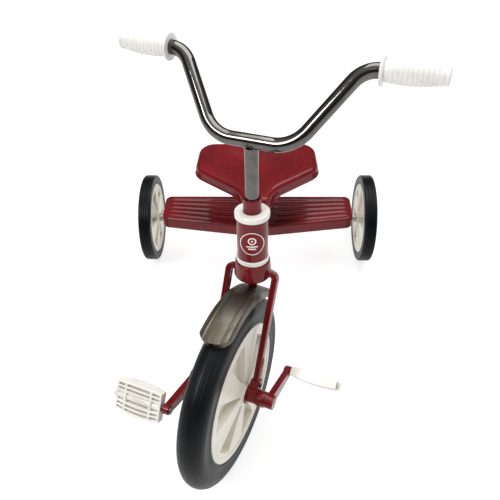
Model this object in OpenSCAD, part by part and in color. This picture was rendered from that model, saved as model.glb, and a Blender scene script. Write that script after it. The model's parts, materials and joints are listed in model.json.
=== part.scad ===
// Children's tricycle: a steel frame with one driven front wheel and two rear wheels.
// +Z is up and the tricycle faces -Y. Left and right are the rider's, so left is +X.
// The origin lies on the floor, under the middle of the whole outline.

/* [Wheels and stance] */
// Radius of the front tyre
front_r = 152; // [130:1:175]
// Radius of the rear tyres
rear_r = 95; // [85:1:105]
// Distance between the rear wheels' middle planes
track = 474; // [430:1:540]
// Distance from the steering axis, at front axle height, back to the rear axle
reach = 395; // [375:1:450]
// Backward lean of the steering axis, in degrees
rake = 7; // [4:0.5:10]
// Distance from the steering axis forward to the front axle
fork_offset = 88; // [80:1:96]
// Turn of the front wheel at rest, in degrees
steer_rest = 21.5; // [0:0.5:30]

/* [Front wheel] */
// Width of the front tyre
front_tyre_w = 41; // [34:1:44]
// Radius of the front rim
front_rim_r = 110; // [95:1:118]
// Width of the front rim
front_rim_w = 40; // [32:1:42]
// Length of the front hub
front_hub_l = 52; // [46:1:54]
// Radius of the front hub
front_hub_r = 17; // [14:0.5:20]
// Pockets moulded in each side of a wheel
pockets = 6; // [4:1:8]

/* [Rear wheels] */
// Width of a rear tyre
rear_tyre_w = 25; // [20:1:30]
// Radius of a rear rim
rear_rim_r = 76; // [68:1:80]
// Width of a rear rim
rear_rim_w = 24; // [18:1:26]
// Length of a rear hub on the deck's side of the wheel's middle
rear_hub_in = 17; // [14:1:20]
// Length of a rear hub on the outer side of the wheel's middle
rear_hub_out = 11; // [9:1:14]
// Radius of a rear hub
rear_hub_r = 12; // [10:0.5:15]
// Radius of the rear axle
axle_r = 5; // [4:0.25:6]

/* [Head and steering column] */
// Distance up the steering axis from front axle height to the head tube
head_rise = 190; // [180:1:205]
// Length of the head tube
head_l = 65; // [55:1:80]
// Radius of the head tube
head_r = 22; // [19:0.5:24]
// Wall of the head tube
head_wall = 2.5; // [1.5:0.25:4]
// Height of a bearing collar outside the head tube
bearing_h = 8; // [6:0.5:10]
// Radius of the upper bearing collar
upper_bearing_r = 24.5; // [23:0.5:27]
// Radius of the lower bearing collar
lower_bearing_r = 23.5; // [22:0.5:26]
// Radius of the steerer tube
steerer_r = 12.6; // [11.5:0.1:14]
// Height of the steerer tube above the upper bearing
collar_h = 20; // [15:1:30]
// Radius of the crown cup
crown_r = 28; // [24:0.5:30]
// Height of the crown cup
crown_h = 29; // [22:1:31]

/* [Handlebar] */
// Radius of the handlebar stem
stem_r = 9.2; // [8:0.1:10.5]
// Distance up the steering axis from front axle height to the handlebar
bar_rise = 364; // [340:1:390]
// Radius of the handlebar tube
bar_r = 9.3; // [8.5:0.1:10]
// Wall of the handlebar and stem tubes
bar_wall = 1.5; // [1:0.25:2.5]
// Half of the handlebar's straight middle
bar_mid = 27; // [20:1:35]
// Radius of the lower bends
bar_bend_low = 48; // [35:1:60]
// Length of the rising stretch
bar_rising = 74; // [50:1:95]
// Slope of the rising stretch, in degrees
bar_slope = 58; // [45:1:68]
// Radius of the upper bends
bar_bend_high = 35; // [28:1:45]
// Slope of the hand stretch, in degrees
hand_slope = 2; // [0:0.5:8]
// Length of the hand stretch
hand_l = 73; // [60:1:95]
// Backward lean of the handlebar's plane, in degrees
bar_lean = 41; // [25:1:55]
// Largest radius of a grip
grip_r = 15; // [13:0.5:18]
// Radius of a grip's flange
grip_flange_r = 17.5; // [16:0.5:21]

/* [Fork and mudguard] */
// Distance from the wheel's middle to each fork leg's middle
leg_x = 36.5; // [36:0.5:38]
// Width of a fork leg, across the wheel
leg_w = 9; // [7:0.5:10]
// Depth of a fork leg, along the wheel
leg_d = 15; // [11:0.5:18]
// Clearance between the front tyre and the mudguard
guard_gap = 12; // [8:0.5:16]
// Width of the mudguard
guard_w = 48; // [46:1:54]
// Angle of the mudguard's front tip, forward of the wheel's top
guard_front = 13; // [5:1:40]
// Angle of the mudguard's tail, behind the wheel's top
guard_tail = 56; // [50:1:75]

/* [Cranks and pedals] */
// Distance from the front axle to a pedal pin
crank_l = 90; // [75:1:100]
// Angle of the left crank behind upright, in degrees
crank_angle = 112; // [0:1:360]
// Radius of the driving axle
crank_axle_r = 6; // [5:0.25:7]
// Length of a pedal
pedal_l = 75; // [60:1:85]
// Width of a pedal
pedal_w = 51; // [40:1:60]
// Thickness of a pedal at its middle
pedal_t = 20; // [18:1:26]
// Angle of the left pedal behind upright, in degrees
pedal_angle_left = 150; // [0:1:360]
// Angle of the right pedal behind upright, in degrees
pedal_angle_right = 35; // [0:1:360]
// Radius of a pedal pin
pin_r = 4; // [3.5:0.25:5]

/* [Rear deck] */
// Length of the rear deck, from side to side
deck_l = 412; // [370:1:412]
// Height of the deck's top
deck_top = 132; // [126:1:140]
// Depth of the deck's skirt
deck_skirt = 26; // [22:1:28]
// Distance from the rear axle forward to the deck's front edge at the middle
deck_front = 72; // [60:1:85]
// Distance from the rear axle forward to the deck's front edge at the ends
deck_end = 45; // [36:1:55]
// Distance from the rear axle back to the deck's rear edge
deck_back = 33; // [26:1:40]
// Thickness of the pressed steel
sheet = 2; // [1.5:0.25:3]

/* [Seat] */
// Height of the seat's top
seat_top = 262; // [256:1:285]
// Width of the seat
seat_w = 246; // [210:1:270]
// Depth of the seat's skirt
seat_skirt = 22; // [16:1:24]
// Distance from the rear axle back to the seat's rear edge
seat_back = 47; // [30:1:60]
// Length of the seat, from its nose to its rear edge
seat_l = 196; // [180:1:205]
// Half of the seat's width at its nose
seat_nose = 26; // [22:1:30]

/* [Backbone] */
// Radius of the backbone tube
spine_r = 15; // [12:0.5:17]
// Wall of the backbone tube
spine_wall = 2; // [1.5:0.25:3]
// Distance up the steering axis from front axle height to the backbone
spine_rise = 235; // [228:1:245]
// Slope of the backbone behind the head, in degrees
spine_slope = 46; // [44:1:48]
// Slope of the backbone under the seat, in degrees
spine_tail_slope = 26; // [24:1:30]
// Length of the backbone's first straight
spine_l = 150; // [135:1:165]

/* [Hidden] */
$fn = 64;

red = "#a11420";
cream = "#efe9d8";
white = "#f4f3ee";
chrome = "#c8c9cc";
dull_chrome = "#8f8a80";
zinc = "#b4b4b0";
black = "#17181a";

// Clearances: a running fit, an axial running gap, and an overshoot for cuts
fit = 0.08;
gap = 0.4;
eps = 1;
// A bent tube's straights run this far into its bends, which are this much thicker.
lap = 0.3;
swell = 0.03;

// The steering axis passes through column_foot along column_dir.
column_dir = [0, sin(rake), cos(rake)];
function turned(v, a = -steer_rest, k = column_dir) =
    v * cos(a) + cross(k, v) * sin(a) + k * (k * v) * (1 - cos(a));
tread_r = front_tyre_w / 2;
wheel_side = turned([1, 0, 0]);
wheel_reach = turned([0, -fork_offset, 0]);
function tyre_half(a) = (front_r - tread_r) * sqrt(1 - a * a) + tread_r;
column_z = tyre_half(wheel_side[2]) - wheel_reach[2];
front_end = wheel_reach[1] - tyre_half(wheel_side[1]);
rear_end = reach + rear_r;
shift = -(front_end + rear_end) / 2;
column_foot = [0, shift, column_z];
axle_y = shift + reach;

module along_column(t) {
    translate(column_foot + column_dir * t) rotate([-rake, 0, 0]) children();
}
module steered() {
    translate(column_foot) rotate(a = -steer_rest, v = column_dir)
        translate(-column_foot) children();
}
module at_hub() {
    steered() translate([0, shift - fork_offset, column_z]) children();
}
module both() {
    children();
    mirror([1, 0, 0]) children();
}
module x_rod(r, x0, x1) {
    translate([x0, 0, 0]) rotate([0, 90, 0]) cylinder(r = r, h = x1 - x0);
}
module y_rod(r, y0, y1) {
    translate([0, y0, 0]) rotate([-90, 0, 0]) cylinder(r = r, h = y1 - y0);
}
// A ring about X whose half section is a child shape in radius and width
module x_ring() {
    rotate([0, 90, 0]) rotate_extrude($fn = 96) children();
}

// Outlines: a polygon moved inwards by d, and one with rounded corners
function normal(p, i) = let (d = p[(i + 1) % len(p)] - p[i]) [-d[1], d[0]] / norm(d);
function inset(p, d) = [for (i = [0:len(p) - 1])
    let (m = normal(p, (i + len(p) - 1) % len(p)), n = normal(p, i))
    p[i] + (m + n) * d / (1 + m * n)];
function turn(p, i) = sign(cross(normal(p, (i + len(p) - 1) % len(p)), normal(p, i)));
function shrink(p, r, d) = [for (i = [0:len(p) - 1]) max(r[i] - turn(p, i) * d, 0.2)];
function rounded(p, r, n = 6) = [for (i = [0:len(p) - 1])
    let (a = p[(i + len(p) - 1) % len(p)] - p[i], b = p[(i + 1) % len(p)] - p[i],
         u = a / norm(a), v = b / norm(b), half = acos(u * v) / 2,
         c = p[i] + (u + v) / norm(u + v) * r[i] / sin(half),
         start = p[i] + u * r[i] / tan(half) - c,
         sweep = turn(p, i) * (180 - 2 * half))
    for (k = [0:n]) let (t = sweep * k / n)
        c + [start[0] * cos(t) - start[1] * sin(t), start[0] * sin(t) + start[1] * cos(t)]];
function mirrored(p) = concat(p, [for (i = [len(p) - 1:-1:0]) [-p[i][0], p[i][1]]]);
function twice(r) = concat(r, [for (i = [len(r) - 1:-1:0]) r[i]]);
module outline(p, r, d = 0) {
    polygon(rounded(inset(p, d), shrink(p, r, d)));
}

// ---- head tube and bearings ----
spigot_l = 12;
upper_seat = head_rise + head_l;
collar_top = upper_seat + bearing_h + collar_h;
crown_top = head_rise - bearing_h - gap;
crown_foot = crown_top - crown_h;
crown_floor = 8;
crown_taper = 3;
badge_r = 18;

module head_tube() {
    color(red) along_column(head_rise) difference() {
        cylinder(r = head_r, h = head_l);
        translate([0, 0, -eps]) cylinder(r = head_r - head_wall, h = head_l + 2 * eps);
    }
}
// A collar with a spigot that is pressed into the head tube's end
module bearing(r) {
    difference() {
        union() {
            cylinder(r = r, h = bearing_h);
            translate([0, 0, -spigot_l]) cylinder(r = head_r - head_wall, h = spigot_l + eps);
        }
        translate([0, 0, -spigot_l - eps])
            cylinder(r = steerer_r + fit, h = bearing_h + spigot_l + 2 * eps);
    }
}
module upper_bearing() {
    color(white) along_column(upper_seat) bearing(upper_bearing_r);
}
module lower_bearing() {
    color(white) along_column(head_rise) mirror([0, 0, 1]) bearing(lower_bearing_r);
}
module head_badge() {
    color(white) along_column(head_rise + head_l / 2) intersection() {
        difference() {
            translate([0, 0, -head_l / 2]) cylinder(r = head_r + 0.4, h = head_l);
            translate([0, 0, -head_l]) cylinder(r = head_r, h = 2 * head_l);
        }
        y_rod(badge_r, -2 * head_r, 0);
    }
}

// ---- backbone: two straights and a bend, in the middle plane ----
spine_bend = 160;
spine_end = 6;
foot_t = 3;
foot_w = 56;
foot_l = 62;
bolt_r = 3;
bolt_head_r = 5.5;
bolt_head_h = 3.5;
foot_top = deck_top + foot_t;
function heading(a) = [0, cos(a), -sin(a)];
function lift(a) = [0, sin(a), cos(a)];
spine_start = column_foot + column_dir * spine_rise;
spine_mid = spine_start + heading(spine_slope) * spine_l;
spine_centre = spine_mid + lift(spine_slope) * spine_bend;
spine_low = spine_centre - lift(spine_tail_slope) * spine_bend;
spine_tail_l = (axle_y + spine_end - spine_low[1]) / cos(spine_tail_slope);
function spine_at(y) = spine_low[2] - (y - spine_low[1]) * tan(spine_tail_slope);

module spine_run(r, over = 0) {
    translate(spine_start) rotate([-90 - spine_slope, 0, 0]) cylinder(r = r, h = spine_l + lap);
    translate(spine_centre) rotate([90, 0, 90]) rotate([0, 0, 270 - spine_slope])
        rotate_extrude(angle = spine_slope - spine_tail_slope)
            translate([spine_bend, 0]) circle(r = r + swell);
    translate(spine_low) rotate([-90 - spine_tail_slope, 0, 0]) translate([0, 0, -lap])
        cylinder(r = r, h = spine_tail_l + lap + over);
}
bracket_l = 60;
bracket_mid = axle_y - 36;
bracket_bolt_at = [bracket_mid - 18, bracket_mid + 18];

module backbone() {
    color(red) difference() {
        spine_run(spine_r);
        spine_run(spine_r - spine_wall, eps);
        along_column(head_rise - head_l) cylinder(r = head_r, h = 3 * head_l);
        translate([-foot_w, spine_low[1], foot_top - 200])
            cube([2 * foot_w, 3 * reach, 200]);
        for (y = bracket_bolt_at) translate([0, y, spine_at(y)])
            x_rod(bolt_r, -2 * spine_r, 2 * spine_r);
    }
}

foot_mid = axle_y - 16;
foot_bolts = [for (x = [-1, 1], y = [-1, 1]) [x * 21, foot_mid + y * 22, deck_top]];
module backbone_foot() {
    color(red) difference() {
        translate([-foot_w / 2, foot_mid - foot_l / 2, deck_top]) cube([foot_w, foot_l, foot_t]);
        for (p = foot_bolts) translate(p - [0, 0, eps]) cylinder(r = bolt_r, h = foot_t + 2 * eps);
    }
}
module bolt(grip_l, nut = true) {
    cylinder(r = bolt_head_r, h = bolt_head_h, $fn = nut ? 64 : 6);
    translate([0, 0, -grip_l - (nut ? bolt_head_h + 2 : 0)])
        cylinder(r = bolt_r, h = grip_l + (nut ? bolt_head_h + 2 : 0) + eps);
    if (nut) translate([0, 0, -grip_l - bolt_head_h])
        cylinder(r = bolt_head_r, h = bolt_head_h, $fn = 6);
}
module deck_bolts() {
    color(zinc) for (p = foot_bolts) translate(p + [0, 0, foot_t]) bolt(foot_t + sheet);
}

// ---- rear deck, a pressed sheet that is open below ----
deck_half = deck_l / 2;
deck_hump = 30;
deck_edge = mirrored([[deck_hump, axle_y - deck_front], [deck_half, axle_y - deck_end],
                      [deck_half, axle_y + deck_back]]);
deck_radii = twice([60, 16, 14]);
bead_r = 2.4;
bead_lift = 0.8;
beads = 5;

module deck_bead(f) {
    front = [deck_hump + 12, axle_y - deck_front + f * (deck_front + deck_back)];
    tip = [deck_half - 14, axle_y - deck_end + f * (deck_end + deck_back)];
    run = tip - front;
    translate([front[0], front[1], deck_top - bead_lift])
        rotate([0, 90, atan2(run[1], run[0])]) cylinder(r = bead_r, h = norm(run), $fn = 24);
}
module rear_deck() {
    color(red) difference() {
        union() {
            translate([0, 0, deck_top - deck_skirt]) linear_extrude(deck_skirt)
                outline(deck_edge, deck_radii);
            both() for (i = [1:beads]) deck_bead(i / (beads + 1));
        }
        translate([0, 0, deck_top - deck_skirt - eps]) linear_extrude(deck_skirt - sheet + eps)
            outline(deck_edge, deck_radii, sheet);
        for (p = foot_bolts) translate(p - [0, 0, 2 * sheet])
            cylinder(r = bolt_r, h = 3 * sheet);
    }
}

// ---- rear axle and what holds it ----
plate_t = 3;
plate_x = deck_half - 16;
plate_w = 40;
plate_r = 12;
flange_w = 20;
hub_face = track / 2 - rear_hub_in;
hub_end = track / 2 + rear_hub_out;
cap_l = 6;
cap_r = 9;
spacer_r = 8;

module at_axle() {
    translate([0, axle_y, rear_r]) children();
}
module axle_bracket() {
    under = deck_top - sheet - rear_r;
    difference() {
        at_axle() {
            x_rod(plate_r, plate_x, plate_x + plate_t);
            translate([plate_x, -plate_r, 0]) cube([plate_t, 2 * plate_r, under]);
            translate([plate_x - flange_w, -plate_w / 2, under - plate_t])
                cube([flange_w + plate_t, plate_w, plate_t]);
        }
        at_axle() x_rod(axle_r, 0, track);
    }
}
module axle_bracket_left() {
    color(red) axle_bracket();
}
module axle_bracket_right() {
    color(red) mirror([1, 0, 0]) axle_bracket();
}
module rear_axle() {
    color(zinc) at_axle() x_rod(axle_r, -hub_end - cap_l / 2, hub_end + cap_l / 2);
}
module axle_spacers() {
    color(zinc) both() at_axle() difference() {
        x_rod(spacer_r, plate_x + plate_t, hub_face - gap);
        x_rod(axle_r, plate_x, hub_face);
    }
}
module axle_caps() {
    color(chrome) both() at_axle() difference() {
        union() {
            x_rod(cap_r, hub_end + gap, hub_end + gap + cap_l / 2);
            translate([hub_end + gap + cap_l / 2, 0, 0]) rotate([0, 90, 0])
                cylinder(r1 = cap_r, r2 = cap_r / 2, h = cap_l / 2);
        }
        x_rod(axle_r, 0, hub_end + cap_l / 2);
    }
}

// ---- seat: a pressed shell on a folded bracket ----
seat_rear = axle_y + seat_back;
seat_front = seat_rear - seat_l;
seat_half = seat_w / 2;
seat_edge = mirrored([[seat_nose, seat_front], [seat_nose + 6, seat_front + 34],
                      [seat_half, seat_front + 104], [seat_half - 4, seat_rear]]);
seat_radii = twice([12, 50, 20, 30]);
lip = 2.5;
weld_nut_h = 8;
weld_nut_r = 7;
bracket_top = seat_top - sheet - weld_nut_h;
bracket_t = 3;
bracket_low = 9;
bracket_front = bracket_mid - bracket_l / 2;
bracket_rear = bracket_mid + bracket_l / 2;

module seat_shell() {
    color(red) {
        difference() {
            union() {
                translate([0, 0, seat_top - seat_skirt]) linear_extrude(seat_skirt)
                    outline(seat_edge, seat_radii);
                translate([0, 0, seat_top - seat_skirt]) linear_extrude(sheet)
                    outline(seat_edge, seat_radii, -lip);
            }
            translate([0, 0, seat_top - seat_skirt - eps])
                linear_extrude(seat_skirt - sheet + eps) outline(seat_edge, seat_radii, sheet);
        }
        for (y = bracket_bolt_at) translate([0, y, bracket_top]) difference() {
            cylinder(r = weld_nut_r, h = weld_nut_h + sheet / 2);
            translate([0, 0, -eps]) cylinder(r = bolt_r, h = weld_nut_h + eps);
        }
    }
}
module seat_bracket() {
    color(red) difference() {
        union() {
            translate([-spine_r - bracket_t, bracket_front, bracket_top - bracket_t])
                cube([2 * (spine_r + bracket_t), bracket_l, bracket_t]);
            both() translate([spine_r, 0, 0]) rotate([90, 0, 90]) linear_extrude(bracket_t)
                polygon([[bracket_front, spine_at(bracket_front) - bracket_low],
                         [bracket_rear - 10, foot_top],
                         [bracket_rear, foot_top],
                         [bracket_rear, bracket_top],
                         [bracket_front, bracket_top]]);
        }
        for (y = bracket_bolt_at) {
            translate([0, y, spine_at(y)]) x_rod(bolt_r, -2 * spine_r, 2 * spine_r);
            translate([0, y, 0]) cylinder(r = bolt_r, h = seat_top);
        }
    }
}
module seat_bolts() {
    color(zinc) for (y = bracket_bolt_at) translate([0, y, bracket_top - bracket_t])
        mirror([0, 0, 1]) bolt(bracket_t + weld_nut_h, false);
}
module bracket_bolts() {
    color(zinc) for (y = bracket_bolt_at)
        translate([spine_r + bracket_t, y, spine_at(y)]) rotate([0, 90, 0])
            bolt(2 * (spine_r + bracket_t));
}

// ---- steering column ----
stem_foot = head_rise + 25;
screw_at = collar_top - 9;
screw_head_r = 4.5;

module steerer_tube() {
    foot = crown_foot + crown_floor;
    color(red) steered() difference() {
        along_column(foot) cylinder(r = steerer_r, h = collar_top - foot);
        along_column(foot - eps) cylinder(r = stem_r, h = collar_top - foot + 2 * eps);
        along_column(screw_at) y_rod(bolt_r, 0, 2 * steerer_r);
    }
}
module handlebar_stem() {
    color(chrome) steered() difference() {
        along_column(stem_foot) cylinder(r = stem_r, h = bar_rise - stem_foot);
        along_column(stem_foot - eps) cylinder(r = stem_r - bar_wall, h = bar_rise - stem_foot);
        along_column(bar_rise) x_rod(bar_r, -2 * stem_r, 2 * stem_r);
        along_column(screw_at) y_rod(bolt_r, 0, 2 * stem_r);
    }
}
module stem_bolt() {
    color(zinc) steered() along_column(screw_at) {
        y_rod(bolt_r, stem_r - bar_wall, steerer_r);
        difference() {
            y_rod(screw_head_r, steerer_r - 2, steerer_r + bolt_head_h);
            translate([0, 0, -2 * bolt_head_r])
                cylinder(r = steerer_r, h = 4 * bolt_head_r);
        }
    }
}

// ---- handlebar: one bent tube in a leaning plane ----
low_bend_end = [bar_mid + bar_bend_low * sin(bar_slope), bar_bend_low * (1 - cos(bar_slope))];
rise_end = low_bend_end + bar_rising * [cos(bar_slope), sin(bar_slope)];
high_centre = rise_end + bar_bend_high * [sin(bar_slope), -cos(bar_slope)];
hand_start = high_centre + bar_bend_high * [-sin(hand_slope), cos(hand_slope)];

module at_bar() {
    steered() translate(column_foot + column_dir * bar_rise) rotate([90 - bar_lean, 0, 0])
        children();
}
module at_hand() {
    translate([hand_start[0], hand_start[1], 0]) rotate([0, 0, hand_slope]) children();
}
module bar_run(r, over) {
    x_rod(r, -eps, bar_mid + lap);
    translate([bar_mid, bar_bend_low, 0]) rotate([0, 0, -90])
        rotate_extrude(angle = bar_slope) translate([bar_bend_low, 0]) circle(r = r + swell);
    translate([low_bend_end[0], low_bend_end[1], 0]) rotate([0, 0, bar_slope])
        x_rod(r, -lap, bar_rising + lap);
    translate([high_centre[0], high_centre[1], 0]) rotate([0, 0, 90 + hand_slope])
        rotate_extrude(angle = bar_slope - hand_slope)
            translate([bar_bend_high, 0]) circle(r = r + swell);
    at_hand() x_rod(r, -lap, hand_l + over);
}
module handlebar() {
    color(chrome) at_bar() difference() {
        both() bar_run(bar_r, 0);
        both() bar_run(bar_r - bar_wall, eps);
    }
}
flange_t = 3.5;
grip_end_t = 4;
function barrel(f) = grip_r * (1 - (f - 0.45) * (f - 0.45));
module grip() {
    grip_l = hand_l + grip_end_t - 1;
    at_hand() translate([1, 0, 0]) rotate([0, 90, 0]) rotate_extrude() difference() {
        union() {
            square([grip_flange_r, flange_t]);
            polygon(concat([[0, 0]], [for (i = [0:12]) [barrel(i / 12), i / 12 * grip_l]],
                           [[0, grip_l]]));
        }
        translate([0, -eps]) square([bar_r, hand_l - 1 + eps]);
    }
}
module grip_left() {
    color(white) at_bar() grip();
}
module grip_right() {
    color(white) at_bar() mirror([1, 0, 0]) grip();
}

// ---- fork ----
leg_root = crown_r + 1;
leg_in = 8;
leg_bend = leg_x - leg_root;
leg_top = crown_foot + leg_w;
leg_run = [leg_top * sin(rake) + fork_offset, leg_top * cos(rake)];
leg_tilt = atan2(leg_run[0], leg_run[1]);
leg_l = norm(leg_run);
block_w = 14;
block_r = 11;
block_top = 28;
block_screw = 20;

// The fork's own frame: at the front axle, with +Z up along the legs
module along_leg() {
    at_hub() rotate([-leg_tilt, 0, 0]) children();
}
module leg_section() {
    corner = [leg_w, leg_d] / 2;
    difference() {
        outline([-corner, [corner[0], -corner[1]], corner, [-corner[0], corner[1]]],
                [3, 3, 3, 3]);
        translate([corner[0] + 0.4, 0]) circle(r = 2);
        translate([0, -corner[1] - 0.4]) circle(r = 2);
    }
}
module fork_leg() {
    translate([leg_x, 0, block_top]) linear_extrude(leg_l - leg_bend - block_top) leg_section();
    translate([leg_root, 0, leg_l - leg_bend]) rotate([90, 0, 0])
        rotate_extrude(angle = 90) translate([leg_bend, 0]) leg_section();
}
module fork_leg_left() {
    color(red) along_leg() fork_leg();
}
module fork_leg_right() {
    color(red) along_leg() mirror([1, 0, 0]) fork_leg();
}
module fork_crown() {
    round_r = 6;
    color(red) difference() {
        union() {
            steered() along_column(crown_foot) rotate_extrude() difference() {
                outline([[-crown_r, 0], [crown_r, 0], [crown_r - crown_taper, crown_h],
                         [crown_taper - crown_r, crown_h]],
                        [round_r, round_r, 1.5, 1.5]);
                translate([-2 * crown_r, -eps]) square([2 * crown_r, crown_h + 2 * eps]);
            }
            along_leg() both() translate([crown_r - leg_in, -leg_d / 2, leg_l - leg_w / 2])
                cube([leg_root - crown_r + leg_in, leg_d, leg_w]);
        }
        steered() along_column(crown_foot + crown_floor) cylinder(r = steerer_r, h = crown_h);
    }
}
module hub_block() {
    difference() {
        union() {
            x_rod(block_r, leg_x - block_w / 2, leg_x + block_w / 2);
            translate([leg_x - block_w / 2, -block_r, 0]) cube([block_w, 2 * block_r, 14]);
            translate([leg_x - block_w / 2, -leg_d / 2 - 1, 0])
                cube([block_w, leg_d + 2, block_top]);
        }
        x_rod(crank_axle_r + fit, 0, 2 * leg_x);
        translate([0, 0, block_screw]) x_rod(2, leg_x, 2 * leg_x);
    }
}
module hub_block_left() {
    color(red) along_leg() hub_block();
}
module hub_block_right() {
    color(red) along_leg() mirror([1, 0, 0]) hub_block();
}
module hub_block_bolts() {
    face = leg_x + block_w / 2;
    color(chrome) along_leg() both() translate([0, 0, block_screw]) {
        x_rod(2, leg_x, face + eps);
        x_rod(3.5, face, face + 2.5);
    }
}

// ---- mudguard, rolled about the front axle ----
guard_r = front_r + guard_gap;
guard_t = 1.5;
guard_side = 9;
guard_corner = 22;
guard_bead = 1.6;
guard_bead_at = 0.3 * guard_w;
guard_post_r = 7;

module guard_section() {
    h = guard_w / 2;
    outline([[guard_r - guard_side, -h], [guard_r + guard_t, -h],
             [guard_r + guard_t, h], [guard_r - guard_side, h],
             [guard_r - guard_side, h - guard_t], [guard_r, h - guard_t],
             [guard_r, -h + guard_t], [guard_r - guard_side, -h + guard_t]],
            [0.3, 6, 6, 0.3, 0.3, 4.5, 4.5, 0.3]);
    for (s = [-1, 1])
        translate([guard_r + guard_t / 2, s * guard_bead_at]) circle(r = guard_bead);
}
module front_fender() {
    color(dull_chrome) at_hub() difference() {
        rotate([90, 0, 90]) rotate([0, 0, 90 - guard_tail])
            rotate_extrude(angle = guard_tail + guard_front) guard_section();
        rotate([guard_front, 0, 0]) both() difference() {
            translate([guard_w / 2 - guard_corner, -guard_corner, guard_r - 2 * guard_side])
                cube([guard_corner + eps, 2 * guard_corner, 3 * guard_side]);
            translate([guard_w / 2 - guard_corner, guard_corner, guard_r - 3 * guard_side])
                cylinder(r = guard_corner, h = 5 * guard_side);
        }
    }
}
module fender_stay() {
    color(red) difference() {
        steered() along_column(crown_foot) mirror([0, 0, 1])
            cylinder(r = guard_post_r, h = crown_foot);
        at_hub() x_rod(guard_r + guard_t, -guard_w, guard_w);
    }
}

// ---- wheels: a moulded disc with wedge pockets, and a tyre on it ----
module pocket(inner, outer, half) {
    rotate([90, 0, 90]) linear_extrude(100)
        polygon([[-2, inner], [2, inner], [half, outer], [-half, outer]]);
}
module wheel_disc(r, w, hub, inside, outside, bore) {
    ring_t = r * 0.08;
    face = w / 2 - 1.5;
    web = w / 5;
    spread = 180 / pockets * 0.45;
    difference() {
        x_ring() {
            translate([r - ring_t, -w / 2]) square([ring_t, w]);
            polygon([[bore, -inside], [hub, -inside], [hub, -inside + 2], [r - ring_t, -face],
                     [r - ring_t, face], [hub, outside - 2], [hub, outside], [bore, outside]]);
        }
        for (i = [1:pockets]) rotate([360 / pockets * i, 0, 0])
            for (s = [0, 1]) mirror([s, 0, 0]) translate([web, 0, 0])
                pocket(hub + 4, r - 2 * ring_t, (r - 2 * ring_t) * tan(spread));
    }
}
module front_tyre() {
    color(black) at_hub() x_ring() difference() {
        union() {
            translate([front_r - tread_r, 0]) circle(r = tread_r);
            translate([front_rim_r, -tread_r + 1])
                square([front_r - tread_r - front_rim_r, 2 * tread_r - 2]);
        }
        translate([0, -2 * tread_r]) square([front_rim_r, 4 * tread_r]);
    }
}
module front_rim() {
    color(cream) at_hub() wheel_disc(front_rim_r, front_rim_w, front_hub_r, front_hub_l / 2,
                                     front_hub_l / 2, crank_axle_r);
}
module rear_tyre() {
    h = rear_tyre_w / 2;
    at_axle() translate([track / 2, 0, 0]) x_ring() difference() {
        outline([[rear_rim_r, -h], [rear_r, -h], [rear_r, h], [rear_rim_r, h]],
                [1.5, 5, 5, 1.5]);
        for (i = [-1:1]) translate([rear_r + 0.4, i * rear_tyre_w / 5]) circle(r = 1.5, $fn = 24);
    }
}
module rear_rim() {
    at_axle() translate([track / 2, 0, 0])
        wheel_disc(rear_rim_r, rear_rim_w, rear_hub_r, rear_hub_in, rear_hub_out, axle_r + fit);
}
module rear_tyre_left() {
    color(black) rear_tyre();
}
module rear_tyre_right() {
    color(black) mirror([1, 0, 0]) rear_tyre();
}
module rear_rim_left() {
    color(cream) rear_rim();
}
module rear_rim_right() {
    color(cream) mirror([1, 0, 0]) rear_rim();
}

// ---- cranks: one bent axle with bosses, arms and eyes ----
disc_r = 15;
boss_in = leg_x + block_w / 2 + gap;
boss_r = 12.5;
boss_step = 12;
boss_l = 26;
arm_in = boss_in + boss_step + 2;
arm_t = 9;
eye_r = 7.5;
shoulder_r = 6.5;
shoulder_l = 3;
pedal_in = arm_in + arm_t + shoulder_l + gap;
pin_end = pedal_in + pedal_l + 3;

module hub_discs() {
    color(red) at_hub() both() difference() {
        x_rod(disc_r, front_hub_l / 2, leg_x - block_w / 2 - gap);
        x_rod(crank_axle_r, 0, leg_x);
    }
}
module crank_arm() {
    root_r = boss_r - 1.5;
    b = acos((root_r - eye_r) / crank_l);
    difference() {
        union() {
            circle(r = root_r);
            translate([0, crank_l]) circle(r = eye_r);
            polygon([[root_r * sin(b), root_r * cos(b)],
                     [eye_r * sin(b), crank_l + eye_r * cos(b)],
                     [-eye_r * sin(b), crank_l + eye_r * cos(b)],
                     [-root_r * sin(b), root_r * cos(b)]]);
        }
        translate([0, crank_l]) circle(r = pin_r);
    }
}
module crank_side() {
    x_rod(boss_r, boss_in, boss_in + boss_step);
    x_rod(boss_r - 1.5, boss_in + boss_step - eps, boss_in + boss_l);
    translate([arm_in, 0, 0]) rotate([90, 0, 90]) linear_extrude(arm_t) crank_arm();
}
module crank_axle() {
    color(red) at_hub() {
        x_rod(crank_axle_r, -boss_in - eps, boss_in + eps);
        rotate([-crank_angle, 0, 0]) crank_side();
        rotate([180 - crank_angle, 0, 0]) mirror([1, 0, 0]) crank_side();
    }
}
// The left pin's own frame, and its mirror image for the right pin
module at_pins() {
    at_hub() {
        rotate([-crank_angle, 0, 0]) translate([0, 0, crank_l]) children();
        rotate([180 - crank_angle, 0, 0]) translate([0, 0, crank_l]) mirror([1, 0, 0])
            children();
    }
}
module pedal_pins() {
    color(chrome) at_pins() {
        x_rod(pin_r, arm_in - eps, pin_end);
        x_rod(shoulder_r, arm_in + arm_t, arm_in + arm_t + shoulder_l);
        x_rod(shoulder_r - 0.5, arm_in - 3, arm_in);
    }
}
module pedal_caps() {
    color(zinc) at_pins() difference() {
        x_rod(shoulder_r, pedal_in + pedal_l + gap, pin_end + 2);
        x_rod(pin_r, 0, pin_end);
    }
}

// ---- pedals: a barrel-shaped block with slots, on a tube for the pin ----
pedal_edge = 3;
pedal_slot = 3.8;
pedal_bar = 3.2;
pedal_rib = 4;
pedal_short = 11;
pedal_tube_r = 7;
pedal_sag = 3;
bow_r = (pedal_l * pedal_l / 4 + pedal_sag * pedal_sag) / (2 * pedal_sag);

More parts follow.
